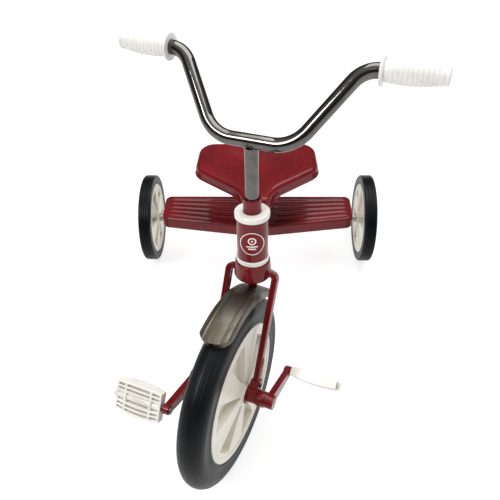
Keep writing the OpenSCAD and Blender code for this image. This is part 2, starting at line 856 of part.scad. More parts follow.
// Two arcs of radius bow_r that meet the pedal's full size w at its middle
module barrel_outline(w) {
    intersection() {
        translate([0, -w / 2]) square([pedal_l, w]);
        translate([pedal_l / 2, w / 2 - bow_r]) circle(r = bow_r, $fn = 96);
        translate([pedal_l / 2, bow_r - w / 2]) circle(r = bow_r, $fn = 96);
    }
}

module pedal() {
    first = pedal_w / 2 - pedal_sag - pedal_edge - pedal_slot;
    rows = [first, first - pedal_slot - pedal_bar];
    inner = rows[1] - pedal_bar;
    long = pedal_l - 2 * (pedal_edge + pedal_short + pedal_rib);
    columns = [[pedal_edge, pedal_short],
               [pedal_edge + pedal_short + pedal_rib, long],
               [pedal_l - pedal_edge - pedal_short, pedal_short]];
    translate([pedal_in, 0, 0]) difference() {
        union() {
            difference() {
                intersection() {
                    translate([0, 0, -pedal_w / 2]) linear_extrude(pedal_w)
                        barrel_outline(pedal_t);
                    rotate([90, 0, 0]) translate([0, 0, -pedal_t / 2]) linear_extrude(pedal_t)
                        barrel_outline(pedal_w);
                }
                for (c = columns) {
                    for (s = [-1, 1], z = rows)
                        translate([c[0], -pedal_t, s * (z + pedal_slot / 2) - pedal_slot / 2])
                            cube([c[1], 2 * pedal_t, pedal_slot]);
                    translate([c[0], -pedal_t, -inner]) cube([c[1], 2 * pedal_t, 2 * inner]);
                }
            }
            x_rod(pedal_tube_r, 0, pedal_l);
        }
        x_rod(pin_r + fit, -eps, pedal_l + eps);
    }
}
module pedal_left() {
    color(white) at_hub() rotate([-crank_angle, 0, 0]) translate([0, 0, crank_l])
        rotate([crank_angle - pedal_angle_left, 0, 0]) pedal();
}
module pedal_right() {
    color(white) at_hub() rotate([180 - crank_angle, 0, 0]) translate([0, 0, crank_l])
        rotate([crank_angle - 180 - pedal_angle_right, 0, 0]) mirror([1, 0, 0]) pedal();
}

head_tube();
upper_bearing();
lower_bearing();
head_badge();
backbone();
backbone_foot();
rear_deck();
axle_bracket_left();
axle_bracket_right();
rear_axle();
axle_spacers();
axle_caps();
seat_shell();
seat_bracket();
seat_bolts();
bracket_bolts();
deck_bolts();
steerer_tube();
handlebar_stem();
handlebar();
stem_bolt();
grip_left();
grip_right();
fork_crown();
fork_leg_left();
fork_leg_right();
hub_block_left();
hub_block_right();
hub_block_bolts();
front_fender();
fender_stay();
front_tyre();
front_rim();
hub_discs();
crank_axle();
pedal_pins();
pedal_caps();
pedal_left();
pedal_right();
rear_tyre_left();
rear_rim_left();
rear_tyre_right();
rear_rim_right();
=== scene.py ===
import json

import bmesh
import bpy
import numpy as np
from mathutils import Matrix


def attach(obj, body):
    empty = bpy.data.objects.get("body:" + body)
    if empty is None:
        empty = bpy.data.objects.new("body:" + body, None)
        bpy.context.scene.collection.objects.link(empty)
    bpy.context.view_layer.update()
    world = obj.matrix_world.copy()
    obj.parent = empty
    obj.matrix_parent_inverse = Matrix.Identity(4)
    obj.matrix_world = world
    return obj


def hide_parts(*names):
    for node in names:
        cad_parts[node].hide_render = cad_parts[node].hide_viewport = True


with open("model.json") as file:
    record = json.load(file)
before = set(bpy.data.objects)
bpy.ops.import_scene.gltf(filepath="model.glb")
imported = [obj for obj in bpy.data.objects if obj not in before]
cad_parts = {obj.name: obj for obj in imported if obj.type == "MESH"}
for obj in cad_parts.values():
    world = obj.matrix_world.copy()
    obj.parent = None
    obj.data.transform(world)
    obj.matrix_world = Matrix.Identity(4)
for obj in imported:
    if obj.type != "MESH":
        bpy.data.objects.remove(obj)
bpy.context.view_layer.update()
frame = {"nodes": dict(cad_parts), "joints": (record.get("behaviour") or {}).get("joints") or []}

# ---- Backbone and head tube ----
# One bent steel tube runs from the head tube down to the rear deck, and is welded at both ends. The
# whole frame is dipped in red enamel. Sizes are in millimetres until a mesh is made.
joints = {joint["name"]: joint for joint in frame["joints"]}
X, Y, Z = np.eye(3)
column_foot = 1000 * np.array(joints["steering"]["pos_m"])
column = np.array(joints["steering"]["axis"])


def put(points, place):
    """Points of a piece's own frame, brought to the row frame: turned, then shifted."""
    return points @ place[:3, :3].T + place[:3, 3]


def unit(vectors):
    """Each vector divided by its length."""
    return vectors / np.linalg.norm(vectors, axis=-1, keepdims=True)


def circle(radius, steps=32):
    """The points (radius cos a, radius sin a)."""
    angle = np.linspace(0, 2 * np.pi, steps + 1)
    return radius * np.stack([np.cos(angle), np.sin(angle)], axis=-1)


def piece(name, grids, place, body, coat, stands_for=(), crease=35):
    """One object through grids of points: each cell of a grid is a four-sided face, and rows or columns that
    meet are welded. The points of the piece's own frame are kept as its attribute "own", in metres."""
    own = np.concatenate([np.reshape(grid, (-1, 3)) for grid in grids])
    faces, first = [], 0
    for grid in grids:
        rows, columns = np.shape(grid)[:2]
        index = first + np.arange(rows * columns).reshape(rows, columns)
        first += rows * columns
        faces.append(
            np.stack([index[:-1, :-1], index[1:, :-1], index[1:, 1:], index[:-1, 1:]], axis=-1).reshape(-1, 4)
        )
    mesh = bpy.data.meshes.new(name)
    mesh.from_pydata(put(own, place) / 1000, [], np.concatenate(faces).tolist())
    mesh.attributes.new("own", "FLOAT_VECTOR", "POINT").data.foreach_set("vector", own.ravel() / 1000)
    return finished(name, mesh, body, coat, stands_for, crease)


def finished(name, mesh, body, coat, stands_for, crease):
    """The mesh as an object that rides on its body, with doubles welded and its faces turned outwards."""
    shell = bmesh.new()
    shell.from_mesh(mesh)
    bmesh.ops.remove_doubles(shell, verts=shell.verts, dist=2e-6)
    bmesh.ops.dissolve_degenerate(shell, edges=shell.edges, dist=1e-7)
    bmesh.ops.recalc_face_normals(shell, faces=shell.faces)
    shell.to_mesh(mesh)
    shell.free()
    mesh.polygons.foreach_set("use_smooth", np.ones(len(mesh.polygons), bool))
    mesh.set_sharp_from_angle(angle=np.radians(crease))
    made = bpy.data.objects.new(name, mesh)
    bpy.context.collection.objects.link(made)
    mesh.materials.append(coat[0])
    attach(made, body)
    if stands_for:
        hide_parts(*stands_for)
    return made


class Wire:
    """A node's output in one material. Sums of wires and numbers become Math nodes."""

    def __init__(self, tree, output=None):
        self.tree, self.output = tree, output

    def node(self, kind, settings=None, take=0, **inputs):
        """Adds a node of that kind. Its settings go first, and stops are a ramp's. An input is given by its
        name, or by its number after in."""
        made = self.tree.nodes.new("ShaderNode" + kind)
        for key, value in (settings or {}).items():
            if key == "stops":
                for spot, (position, tone) in zip([*made.color_ramp.elements] + [None] * 9, value):
                    spot = spot or made.color_ramp.elements.new(position)
                    spot.position, spot.color = position, (tone, tone, tone, 1)
            else:
                setattr(made, key, value)
        for key, value in inputs.items():
            socket = made.inputs[int(key[2:])] if key[2:].isdigit() else made.inputs[key.replace("_", " ")]
            if isinstance(value, Wire):
                self.tree.links.new(value.output, socket)
            else:
                socket.default_value = value
        return Wire(self.tree, made.outputs[take])

    def math(self, operation, *others):
        """A Math node of this wire and the others."""
        terms = {f"in{i}": term for i, term in enumerate((self, *others))}
        return self.node("Math", {"operation": operation}, **terms)

    def __add__(self, other):
        return self.math("ADD", other)

    def __sub__(self, other):
        return self.math("SUBTRACT", other)

    def __rsub__(self, other):
        return self.math("MULTIPLY_ADD", -1.0, other)

    def __mul__(self, other):
        return self.math("MULTIPLY", other)

    def __truediv__(self, other):
        return self.math("DIVIDE", other)

    __radd__, __rmul__ = __add__, __mul__

    def between(self, low, high):
        """0 below low, 1 above high, and a smooth step from one to the other."""
        return self.node(
            "MapRange", {"interpolation_type": "SMOOTHSTEP"}, Value=self, From_Min=low, From_Max=high
        )

    def grain(self, size, detail=3.0, rough=0.55, stretch=(1, 1, 1)):
        """Noise from 0 to 1 whose lumps measure size millimetres, read at this wire's point."""
        spot = self.node("Mapping", {}, Vector=self, Scale=stretch)
        return self.node(
            "TexNoise", {}, Vector=spot, Scale=1000 / size, Detail=detail, Roughness=rough
        )

    def parts(self):
        """The x, y and z of a vector, in millimetres."""
        return [self.node("SeparateXYZ", {}, take=i, Vector=self) * 1000.0 for i in range(3)]

    def mixed(self, first, second):
        """The first colour where this wire is 0, and the second where it is 1."""
        return self.node("Mix", {"data_type": "RGBA"}, 2, in0=self, in6=first, in7=second)

    def bump(self, depth):
        """A normal raised by this wire, times a depth in millimetres."""
        return self.node("Bump", {}, Height=self, Strength=1.0, Distance=depth / 1000)


def coating(name, slot, paint, attribute=None, **even):
    """A material for a slot. The even values hold all over it, and paint gives what varies from a point."""
    made = bpy.data.materials.new(name)
    made.use_nodes = True
    tree = made.node_tree
    shader = tree.nodes["Principled BSDF"]
    for key, value in even.items():
        shader.inputs[key.replace("_", " ")].default_value = value
    start = Wire(tree)
    if attribute:
        point = start.node("Attribute", {"attribute_name": attribute}, 1)
    else:
        point = start.node("TexCoord", {}, 3)
    for key, wire in paint(point).items():
        tree.links.new(wire.output, shader.inputs[key.replace("_", " ")])
    return made, slot


def rgb(red, green, blue):
    """A colour for a socket."""
    return red, green, blue, 1.0


def enamel_paint(point):
    """Deep red enamel: cloudy depth of colour, faint dust, fine scratches and small stone chips."""
    cloud = point.grain(70).between(0.35, 0.7)
    dust = point.grain(9, 6, 0.7).between(0.5, 0.78)
    chip = point.grain(2.0, 2).between(0.835, 0.845) * point.grain(40).between(0.58, 0.66)
    scratch = point.grain(2.4, 2, 0.4, (1.0, 0.05, 0.3)).between(0.75, 0.83)
    red = cloud.mixed(rgb(0.122, 0.0045, 0.007), rgb(0.172, 0.006, 0.010))
    red = (dust * 0.05).mixed(red, rgb(0.36, 0.22, 0.20))
    red = (scratch * 0.10).mixed(red, rgb(0.40, 0.16, 0.15))
    return {
        "Base Color": (chip * 0.8).mixed(red, rgb(0.07, 0.03, 0.028)),
        "Roughness": 0.20 + dust * 0.12 + scratch * 0.1,
        "Normal": (point.grain(28, 2) + point.grain(1.6, 3) * 0.03).bump(0.25),
    }


enamel = coating(
    "red_enamel", "red_enamel", enamel_paint, Coat_Weight=0.25, Coat_Roughness=0.06, Specular_IOR_Level=0.17
)


def keep(coat, *nodes):
    """CAD nodes whose shape is right take this coat."""
    for name in nodes:
        mesh = frame["nodes"][name].data
        mesh.materials.clear()
        mesh.materials.append(coat[0])


keep(enamel, "backbone", "head_tube", "backbone_foot", "seat_bracket")
keep(enamel, "axle_bracket_left", "axle_bracket_right")

head_r, spine_r, spine_rise, spine_slope, weld_r = 22, 15, 235, np.radians(46), 1.9
heading = np.array([0, np.cos(spine_slope), -np.sin(spine_slope)])
lift = np.array([0, np.sin(spine_slope), np.cos(spine_slope)])


def bead(path, out, size):
    """A round bead along a closed path: path + size (cos a out + sin a (along x out))."""
    along = unit(np.roll(path, -1, axis=0) - np.roll(path, 1, axis=0))
    out = unit(out - (along * out).sum(1, keepdims=True) * along)
    section = circle(size, 10)
    grid = path[:, None] + section[:, 0, None] * out[:, None]
    grid = grid + section[:, 1, None] * np.cross(along, out)[:, None]
    return np.concatenate([grid, grid[:1]])


# The weld lies where the backbone's wall meets the head tube's: each point of a ring round the backbone
# slides along it until its distance from the steering axis is the head tube's radius.
around = np.linspace(0, 2 * np.pi, 72, endpoint=False)[:, None]
tube = column_foot + spine_rise * column + spine_r * (np.cos(around) * X + np.sin(around) * lift)
off, run = (v - (v @ column)[..., None] * column for v in (tube - column_foot, heading[None]))
linear, square = (off * run).sum(1), (run**2).sum()
slide = (np.sqrt(linear**2 - square * ((off**2).sum(1) - head_r**2)) - linear) / square
joined = tube + slide[:, None] * heading
piece("head_weld", [bead(joined, tube - tube.mean(0), weld_r)], np.eye(4), "frame", enamel)


# ---- Head bearings and badge ----
# Two white moulded collars carry the steerer tube. A round printed label is wrapped on the front of
# the head tube between them; its picture is a plain wheel and two bars.
front_turn = -np.radians(np.mean(joints["steering"]["range_deg"]))
rake = np.arctan2(column[1], column[2])


def move(x, y, z):
    """A place that is shifted by x, y and z."""
    place = np.eye(4)
    place[:3, 3] = x, y, z
    return place


def spin(angle, axis):
    """A place that is turned by an angle in radians: I + sin(angle) K + (1 - cos(angle)) K K, where K crosses
    the axis with a point."""
    cross = np.cross(np.eye(3), axis)
    place = np.eye(4)
    place[:3, :3] += np.sin(angle) * cross + (1 - np.cos(angle)) * cross @ cross
    return place


def lathe(profile, steps=72):
    """A profile of radii and heights turned about z: (radius cos a, radius sin a, height)."""
    angle = np.linspace(0, 2 * np.pi, steps + 1)
    radius, height = np.array(profile, float).T[:, :, None]
    return np.stack([radius * np.cos(angle), radius * np.sin(angle), height + 0 * angle], axis=-1)


def softened(corners, radii, steps=6, closed=False):
    """The outline through the corners, each one rounded by an arc that touches both of its sides. A point of
    the arc is (sin((1 - t) w) start + sin(t w) end) / sin(w) from the arc's centre."""
    corners = np.array(corners, float)
    before, after = np.roll(corners, 1, axis=0), np.roll(corners, -1, axis=0)
    radii = np.broadcast_to(np.array(radii, float), len(corners)).copy()
    if not closed:
        radii[[0, -1]] = 0
    back, on = unit(before - corners), unit(after - corners)
    half = np.arccos(np.clip((back * on).sum(1), -1, 1 - 1e-9)) / 2
    reach, depth = (radii / np.tan(half))[:, None], (radii / np.sin(half))[:, None]
    centre = corners + unit(back + on + 1e-9) * depth
    start, end = corners + back * reach - centre, corners + on * reach - centre
    t, sweep = np.linspace(0, 1, steps + 1)[None, :, None], (np.pi - 2 * half)[:, None, None]
    arc = (np.sin((1 - t) * sweep) * start[:, None] + np.sin(t * sweep) * end[:, None]) / np.sin(sweep)
    outline = (centre[:, None] + arc).reshape(-1, 2)
    if not closed:
        outline = np.concatenate([corners[:1], outline[steps + 1 : -steps - 1], corners[-1:]])
    else:
        outline = np.concatenate([outline, outline[:1]])
    return outline


def at_column(rise, turned=False):
    """The place on the steering axis at a rise from its foot, with z up the axis. A turned place is one that
    the steering has turned with it."""
    steered = spin(front_turn if turned else 0, column)
    return move(*column_foot) @ steered @ move(*(rise * column)) @ spin(-rake, X)


def moulding(light, dark, rough, grime=0.25):
    """Moulded plastic: a slow change of tone, rubbed-in grime and small scuffs."""

    def paint(point):
        cloud = point.grain(30).between(0.3, 0.75)
        dirt = point.grain(5, 6, 0.7).between(0.55, 0.8) * point.grain(45).between(0.4, 0.7)
        scuff = point.grain(1.2, 2, 0.5, (0.12, 1, 0.5)).between(0.72, 0.82)
        tone = cloud.mixed(rgb(*light), rgb(*dark))
        return {
            "Base Color": (dirt * grime + scuff * 0.1).mixed(tone, rgb(0.30, 0.25, 0.19)),
            "Roughness": rough + dirt * 0.2 + scuff * 0.1,
            "Normal": (point.grain(14, 2) + scuff * -0.1 + point.grain(0.9, 2) * 0.06).bump(0.2),
        }

    return paint


white_plastic = coating(
    "white_plastic", "white_plastic", moulding((0.83, 0.81, 0.76), (0.74, 0.71, 0.65), 0.28), Coat_Weight=0.15
)
head_rise, head_l, head_wall = 190, 65, 2.5
bearing_h, spigot_l, steerer_r, fit = 8, 12, 12.6, 0.08
bore, spigot_r = steerer_r + fit, head_r - head_wall
for name, radius, rise, up in (
    ("upper_bearing", 24.5, head_rise + head_l, 1), ("lower_bearing", 23.5, head_rise, -1)
):
    collar = softened(
        [
            (bore, -spigot_l), (spigot_r, -spigot_l), (spigot_r, 0), (radius, 0), (radius, bearing_h),
            (bore, bearing_h),
        ],
        [0.4, 0.4, 0.2, 1.0, 1.8, 0.6], closed=True,
    )
    piece(name + "_collar", [lathe(collar * [1, up])], at_column(rise), "frame", white_plastic, [name])


def badge_paint(point):
    """White print on red: a ring, a small wheel above, and two bars below, each cut by distance. The ring's
    radius is the root of 1.21 across squared plus up squared, and it sags a little at its sides."""
    across, _, up = point.parts()
    sagged = up + across * across * 0.007
    radius = (across * across * 1.21 + sagged * sagged).math("SQRT")
    above = up - 4.5
    wheel = (across * across + above * above).math("SQRT")

    def stroke(value, middle, half):
        """1 within half of the middle, with an edge 0.2 mm wide."""
        return 1.0 - (value - middle).math("ABSOLUTE").between(half - 0.1, half + 0.1)

    long_bar = stroke(across, 0.0, 8.0) * stroke(up, -4.6, 1.0)
    short_bar = stroke(across, 0.0, 5.5) * stroke(up, -8.4, 1.0)
    ring, rim, hub = stroke(radius, 17.9, 0.6), stroke(wheel, 5.0, 0.9), stroke(wheel, 0.0, 1.4)
    mark = ring + rim + hub + (long_bar + short_bar)
    worn = point.grain(2.5, 4).between(0.62, 0.7) * 0.4
    red = point.grain(20).mixed(rgb(0.165, 0.004, 0.009), rgb(0.20, 0.006, 0.012))
    return {
        "Base Color": (mark.between(0.0, 1.0) * (1.0 - worn)).mixed(red, rgb(0.86, 0.84, 0.80)),
        "Roughness": 0.25 + worn * 0.4,
    }


badge_print = coating("printed_badge", "printed_badge", badge_paint, "own", Specular_IOR_Level=0.2)
badge_r, badge_t, narrowed = 18.8, 0.4, 0.925
radius, angle = np.meshgrid(np.linspace(0, badge_r, 8), np.linspace(0, 2 * np.pi, 73), indexing="ij")
swing, height = np.arcsin(narrowed * radius * np.cos(angle) / head_r), radius * np.sin(angle)
face = np.stack([np.sin(swing), -np.cos(swing), 0 * swing], axis=-1)
label = np.concatenate([(head_r + badge_t) * face, head_r * face[-1:]])
label[..., 2] = np.concatenate([height, height[-1:]])
piece("badge", [label], at_column(head_rise + head_l / 2), "frame", badge_print, ["head_badge"])


# ---- Rear deck ----
# One sheet of steel is pressed into a step: five ribs fan out along each half, and the skirt is
# folded down all round. It is bolted under the foot of the backbone.
deck_top, deck_skirt, deck_half, sheet = 132, 26, 206, 2
deck_front, deck_end, deck_back = 72, 45, 33
axle = 1000 * np.array(joints["rear_axle_left"]["pos_m"])
axle_y, rear_r = axle[1], axle[2]


def mirrored(half):
    """Half an outline's corners, then the same with x turned over, so that it closes anticlockwise."""
    half = np.array(half, float)
    return np.concatenate([half, half[::-1] * [-1, 1]])


def evened(outline, count):
    """The outline with its points spread evenly along it."""
    length = np.concatenate([[0], np.cumsum(np.linalg.norm(np.diff(outline, axis=0), axis=1))])
    spot = np.linspace(0, length[-1], count + 1)
    return np.stack([np.interp(spot, length, outline[:, i]) for i in range(2)], axis=-1)


def moved_in(outline, depth):
    """The closed outline with each point moved inwards, across the line through its neighbours."""
    ahead = np.roll(outline[:-1], -1, axis=0) - np.roll(outline[:-1], 1, axis=0)
    inner = outline[:-1] + depth * unit(np.stack([-ahead[:, 1], ahead[:, 0]], axis=-1))
    return np.concatenate([inner, inner[:1]])


def pressing(outline, centre, top, skirt, fold, lip, relief, rows=40):
    """A pressed sheet: from the middle of its underside out to the fold, down to the lip's edge, up the outer
    side and back to the middle. The top's rows are centre + share (outline - centre), and relief(x, y) lifts
    both sides of the sheet there."""
    share = np.concatenate([np.linspace(0, 1, rows), np.ones(8)])
    quarter = np.linspace(0, np.pi / 2, 9)[1:]
    depth = np.concatenate([np.full(rows, fold), fold * (1 - np.sin(quarter))])
    drop = np.concatenate([np.zeros(rows), fold * (1 - np.cos(quarter))])
    outer = np.stack([centre + s * (moved_in(outline, d) - centre) for s, d in zip(share, depth)])
    inner = np.stack(
        [centre + s * (moved_in(outline, max(d, 0) + sheet) - centre) for s, d in zip(share, depth)]
    )
    raised = [relief(grid[..., 0], grid[..., 1], share[:, None]) for grid in (outer, inner)]
    over = np.dstack([outer, top - drop[:, None] + raised[0]])
    under = np.dstack([inner, top - sheet - drop[:, None] + raised[1]])
    edge = [
        (sheet, 3), (sheet, 0.4), (sheet - 0.5, 0), (0.2 - lip, 0), (-lip, 0.4), (-lip, 1.6), (-0.2, 2.4),
        (0, 4),
    ]
    foot = np.full(len(outline), top - skirt)
    rim = np.stack([np.column_stack([moved_in(outline, d), foot + z]) for d, z in edge])
    return np.concatenate([under, rim, over[::-1]])


deck_corners = mirrored(
    [(30, axle_y - deck_front), (deck_half, axle_y - deck_end), (deck_half, axle_y + deck_back)]
)
deck_edge = evened(softened(deck_corners, [60, 16, 14, 14, 16, 60], 12, True), 560)


def ribs(x, y, share):
    """Ribs on each half, on lines that fan out: lift x cos squared of the distance from the rib's middle, and
    faded towards the deck's middle and ends."""
    count, lift_h, half_w = 5, 1.6, 5.4
    far = np.clip((np.abs(x) - 42) / 150, 0, 1)
    front = axle_y - deck_front + (deck_front - deck_end) * far
    depth = axle_y + deck_back - front
    lane = (y - front) / depth * (count + 1)
    off = (lane - np.clip(np.round(lane), 1, count)) * depth / (count + 1)
    wave = np.cos(np.clip(off / half_w, -1, 1) * np.pi / 2) ** 2
    fade = np.clip((np.abs(x) - 36) / 12, 0, 1) * np.clip((deck_half - 10 - np.abs(x)) / 10, 0, 1)
    return lift_h * wave * fade * fade * (3 - 2 * fade) * (share < 1)


piece(
    "deck_pressing",
    [pressing(deck_edge, np.array([0, axle_y - 10]), deck_top, deck_skirt, 5, 0, ribs, 60)],
    np.eye(4), "frame", enamel, ["rear_deck"], 50,
)


# ---- Seat ----
# The seat is pressed from the same steel: a broad rear, a narrow nose, a folded skirt and a small
# turned-out lip. A folded bracket and bolts hold it above the backbone.
seat_top, seat_skirt, seat_l, seat_back = 262, 22, 196, 47
seat_nose, seat_neck, seat_half, seat_rear_half = 26, 32, 123, 119
seat_front = axle_y + seat_back - seat_l
seat_corners = mirrored(
    [
        (seat_nose, seat_front), (seat_neck, seat_front + 34), (seat_half, seat_front + 104),
        (seat_rear_half, seat_front + seat_l),
    ]
)
seat_edge = evened(softened(seat_corners, [12, 60, 36, 34, 34, 36, 60, 12], 12, True), 360)


def dish(x, y, share):
    """The top sinks by 2.5 mm towards the middle, on (1 - share squared) squared."""
    return -2.5 * (1 - share**2) ** 2 + 0 * x


piece(
    "seat_pressing",
    [pressing(seat_edge, np.array([0, seat_front + 120]), seat_top, seat_skirt, 9, 2.5, dish)],
    np.eye(4), "frame", enamel, ["seat_shell"], 50,
)
nut_r, nut_bore, nut_h, bracket_mid = 7, 3, 8.4, axle_y - 36
nut = lathe(
    [(nut_bore, 0), (nut_r - 0.4, 0), (nut_r, 0.4), (nut_r, nut_h), (nut_bore, nut_h), (nut_bore, 0)], 6
)
for i, y in enumerate((bracket_mid - 18, bracket_mid + 18)):
    piece(f"weld_nut_{i + 1}", [nut], move(0, y, seat_top - 10), "frame", enamel)


# ---- Rear axle, spacers and fixings ----
# A zinc-plated rod runs through a bracket at each end of the deck. Spacers keep the wheels off the
# deck, chromed caps are pushed on the rod's ends, and hexagon bolts hold the foot and the seat.
def zinc_paint(point):
    """Dull zinc plate: a mottled grey with white bloom and a little rust."""
    mottle = point.grain(4, 5, 0.7)
    rust = point.grain(2.5, 4).between(0.66, 0.74) * point.grain(18).between(0.45, 0.65)
    grey = mottle.between(0.3, 0.7).mixed(rgb(0.36, 0.36, 0.35), rgb(0.55, 0.55, 0.53))
    return {
        "Base Color": (rust * 0.8).mixed(grey, rgb(0.20, 0.09, 0.04)),
        "Roughness": 0.34 + mottle * 0.2 + rust * 0.3,
        "Metallic": 1.0 - rust * 0.7,
        "Normal": mottle.bump(0.05),
    }


def chrome_paint(point):
    """Bright chrome plate: a nearly even mirror with rubbed smears, pinhole pits and a slow ripple."""
    smear = point.grain(22, 4, 0.6).between(0.42, 0.75)
    pit = point.grain(1.3, 1).between(0.765, 0.78) * point.grain(30).between(0.5, 0.62)
    bright = smear.mixed(rgb(0.135, 0.129, 0.120), rgb(0.090, 0.085, 0.076))
    return {
        "Base Color": (pit * 0.8).mixed(bright, rgb(0.10, 0.07, 0.05)),
        "Roughness": 0.055 + smear * 0.10 + pit * 0.4,
        "Normal": (point.grain(16, 2) - pit * 0.1).bump(0.12),
    }


def eased(node, name, body, coat, width, crease=35):
    """A CAD node's shape with its doubles welded and its edges rounded to a width in millimetres."""
    mesh = frame["nodes"][node].data.copy()
    mesh.materials.clear()
    made = finished(name, mesh, body, coat, [node], crease)
    shell = bmesh.new()
    shell.from_mesh(mesh)
    bmesh.ops.dissolve_limit(
        shell, angle_limit=np.radians(1), verts=shell.verts, edges=shell.edges, delimit={"NORMAL"}
    )
    shell.to_mesh(mesh)
    shell.free()
    edge = made.modifiers.new("edges", "BEVEL")
    edge.width, edge.segments, edge.limit_method = width / 1000, 2, "ANGLE"
    edge.angle_limit, edge.harden_normals = np.radians(crease), True
    return made


zinc = coating("zinc_plate", "zinc_plate", zinc_paint)
chrome = coating("chrome_plate", "chrome_plate", chrome_paint, Metallic=1.0)
for name in ("rear_axle", "axle_spacers", "seat_bolts", "bracket_bolts", "deck_bolts"):
    eased(name, name + "_plated", "frame", zinc, 0.4)
wheel_x, rear_hub_out, rear_hub_in, gap = 237, 11, 17, 0.4
cap_r, hub_end = 9, wheel_x + rear_hub_out + gap
dome = np.linspace(0, np.pi / 2, 9)
cap = np.concatenate(
    [
        [(5, 0), (cap_r - 0.5, 0), (cap_r, 0.6)],
        np.stack([cap_r - 2 + 2 * np.cos(dome), 2.2 + 2 * np.sin(dome)], axis=-1),
        np.stack([(cap_r - 2) * np.cos(dome), 4.2 + 1.7 * np.sin(dome)], axis=-1),
        [(0, 5.9)],
    ]
)
for side in (-1, 1):
    flat = [(0, 1.5), (5, 1.5)]
    piece(
        "axle_cap_left" if side > 0 else "axle_cap_right", [lathe(np.concatenate([flat, cap]))],
        move(side * hub_end, axle_y, rear_r) @ spin(side * np.pi / 2, Y), "frame", chrome,
        ["axle_caps"] if side > 0 else (),
    )


# ---- Tyres ----
# Three solid rubber tyres: the front one is round and fat with fine moulding lines, and the rear
# ones are narrow with flat ribbed treads. They are stretched on the wheels.
def rubber_paint(point):
    """Black rubber: a faint brown and grey bloom, and dust rubbed into it."""
    bloom = point.grain(35, 4).between(0.35, 0.75)
    dust = point.grain(3, 6, 0.75).between(0.56, 0.8) * point.grain(26).between(0.4, 0.66)
    black = bloom.mixed(rgb(0.0022, 0.0028, 0.0038), rgb(0.0045, 0.0054, 0.0068))
    return {
        "Base Color": (dust * 0.16).mixed(black, rgb(0.09, 0.085, 0.078)),
        "Roughness": 0.36 + bloom * 0.08 + dust * 0.20,
        "Normal": (point.grain(1.1, 3) * 0.3 + point.grain(12, 2)).bump(0.12),
    }


rubber = coating("black_tyre", "black_tyre", rubber_paint, "own", Specular_IOR_Level=0.14)
side_turn = spin(np.pi / 2, Y)
fork_offset, front_r, tread_r, front_rim_r, front_bead = 88, 152, 20.5, 110, 18.6
hub_place = move(*column_foot) @ spin(front_turn, column) @ move(0, -fork_offset, 0)
swing = np.radians(np.linspace(-97, 97, 160))
lines, line_half, line_depth = np.radians([-52, -38, -24, -10, 10, 24, 38, 52]), np.radians(1.4), 0.35
groove = line_depth * np.exp(-(((swing[:, None] - lines) / line_half) ** 2)).sum(1)
tread = np.stack(
    [front_r - tread_r + (tread_r - groove) * np.cos(swing), (tread_r - groove) * np.sin(swing)], axis=-1
)
wall = [(126, 19.9), (118, 19.6), (114.5, 19.9), (113, 20.3), (111.4, 19.9), (front_rim_r, front_bead)]
profile = np.concatenate([np.array(wall[::-1]) * [1, -1], tread, wall, [(front_rim_r, -front_bead)]])
piece("front_tyre_rubber", [lathe(profile, 160)], hub_place @ side_turn, "drive", rubber, ["front_tyre"])

rear_rim_r, rear_bead, tread_half, shoulder_r = 76, 10.8, 9.2, 3.3
flat = np.linspace(-tread_half, tread_half, 93)
groove = 1.3 * np.exp(-(((flat[:, None] - [-5, 0, 5]) / 0.75) ** 4)).sum(1)
turn = np.linspace(0, np.pi / 2, 9)[:-1]
flank = np.stack(
    [rear_r - shoulder_r + shoulder_r * np.sin(turn), -tread_half - shoulder_r * np.cos(turn)], axis=-1
)
wall = np.array(
    [(rear_rim_r, rear_bead), (rear_rim_r + 1, 12), (79.5, 12.4), (81.5, 12), (84, tread_half + shoulder_r)]
)
profile = np.concatenate(
    [
        wall * [1, -1], flank, np.stack([rear_r - groove, flat], axis=-1), flank[::-1] * [1, -1], wall[::-1],
        [(rear_rim_r, -rear_bead)],
    ]
)
for word, side in (("left", 1), ("right", -1)):
    piece(
        f"rear_tyre_rubber_{word}", [lathe(profile, 128)], move(side * wheel_x, axle_y, rear_r) @ side_turn,
        "rear_wheel_" + word, rubber, ["rear_tyre_" + word],
    )


# ---- Wheel discs ----
# Each wheel is one moulding of cream plastic: a cone that rises from the rim to the hub, with six
# wedge-shaped pockets sunk in each side, narrow at the hub and wide at the rim.
def cream_paint(point):
    """Yellowed cream plastic: dirt settles near the hub, by distance from the wheel's axis."""
    x, y, _ = point.parts()
    radius = (x * x + y * y).math("SQRT")
    settled = (1.0 - radius.between(16.0, 44.0)) * 0.5 + point.grain(14, 5, 0.7).between(0.5, 0.75) * 0.5
    cloud = point.grain(40).between(0.3, 0.7)
    scuff = point.grain(1.5, 2, 0.5, (0.15, 1, 1)).between(0.72, 0.8)
    cream = cloud.mixed(rgb(0.80, 0.765, 0.68), rgb(0.72, 0.68, 0.58))
    return {
        "Base Color": (settled * 0.16 + scuff * 0.1).mixed(cream, rgb(0.27, 0.21, 0.14)),
        "Roughness": 0.36 + settled * 0.15 + scuff * 0.1,
        "Normal": (point.grain(18, 2) + point.grain(1.0, 2) * 0.05).bump(0.2),
    }


cream = coating("cream_plastic", "cream_plastic", cream_paint, "own", Coat_Weight=0.1)


